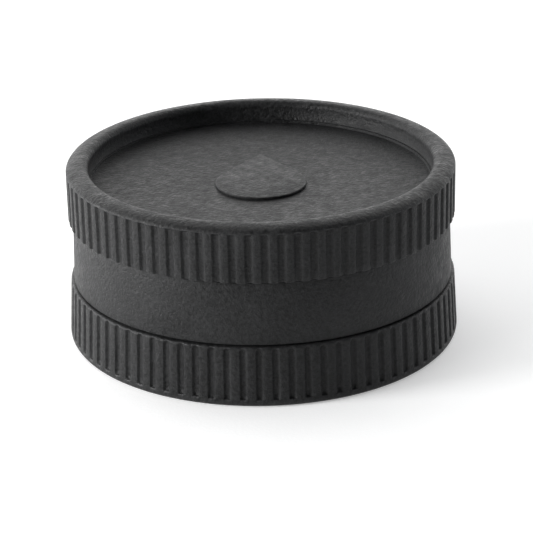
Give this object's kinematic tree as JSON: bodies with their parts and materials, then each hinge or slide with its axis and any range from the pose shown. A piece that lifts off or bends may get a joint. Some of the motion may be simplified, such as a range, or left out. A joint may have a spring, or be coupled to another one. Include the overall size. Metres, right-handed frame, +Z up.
{
  "type": "film developing tank",
  "caption": "Squat round daylight developing tank with ribbed base cup, smooth light-trap lid, ribbed screw cap and a 35 mm spiral reel inside.",
  "frame": {"origin": "centre of the foot, on the surface that the tank stands on", "axes": "+Z up along the tank's axis, -Y towards the front"},
  "size_m": [0.1224, 0.1224, 0.0558],
  "materials": {
    "shell_plastic": "fine matt texture",
    "column_plastic": "satin",
    "seal_rubber": "matt",
    "reel_nylon": "satin",
    "ball_steel": "polished"
  },
  "bodies": {
    "base": {"tank_base": "shell_plastic"},
    "lid_lifter": {"lid_seal": "seal_rubber"},
    "lid": {"light_trap_lid": "shell_plastic", "pour_funnel": "column_plastic"},
    "cap_lifter": {"cap_seal": "seal_rubber"},
    "screw_cap": {"cap": "shell_plastic"},
    "reel_core": {"centre_column": "column_plastic", "reel_lower_flange": "reel_nylon", "reel_clip": "column_plastic"},
    "reel_top": {"reel_upper_flange": "reel_nylon"},
    "lower_ball": {"feed_ball_lower": "ball_steel"},
    "upper_ball": {"feed_ball_upper": "ball_steel"}
  },
  "joints": [
    {"name": "lid_lift", "type": "slide", "parent": "base", "child": "lid_lifter", "axis": [0, 0, 1], "range_m": [0, 0.0241]},
    {"name": "lid_turn", "type": "hinge", "parent": "lid_lifter", "child": "lid", "pos_m": [0, 0, 0.03], "axis": [0, 0, 1], "range_deg": [0, 360]},
    {"name": "cap_lift", "type": "slide", "parent": "lid", "child": "cap_lifter", "axis": [0, 0, 1], "range_m": [0, 0.0148]},
    {"name": "cap_turn", "type": "hinge", "parent": "cap_lifter", "child": "screw_cap", "pos_m": [0, 0, 0.045], "axis": [0, 0, 1], "range_deg": [0, 330]},
    {"name": "reel_spin", "type": "hinge", "parent": "base", "child": "reel_core", "pos_m": [0, 0, 0.003], "axis": [0, 0, 1], "continuous": true},
    {"name": "reel_feed", "type": "hinge", "parent": "reel_core", "child": "reel_top", "pos_m": [0, 0, 0.025], "axis": [0, 0, 1], "range_deg": [-25, 25]},
    {"name": "lower_ball_roll", "type": "slide", "parent": "reel_core", "child": "lower_ball", "axis": [-0.7071, 0.7071, 0], "range_m": [0, 0.002]},
    {"name": "upper_ball_roll", "type": "slide", "parent": "reel_top", "child": "upper_ball", "axis": [-0.7071, 0.7071, 0], "range_m": [0, 0.002]}
  ],
  "couplings": [
    {"joint": "lid_lift", "follows": "lid_turn", "m_per_rad": 0.0038197},
    {"joint": "cap_lift", "follows": "cap_turn", "m_per_rad": 0.0025465}
  ]
}
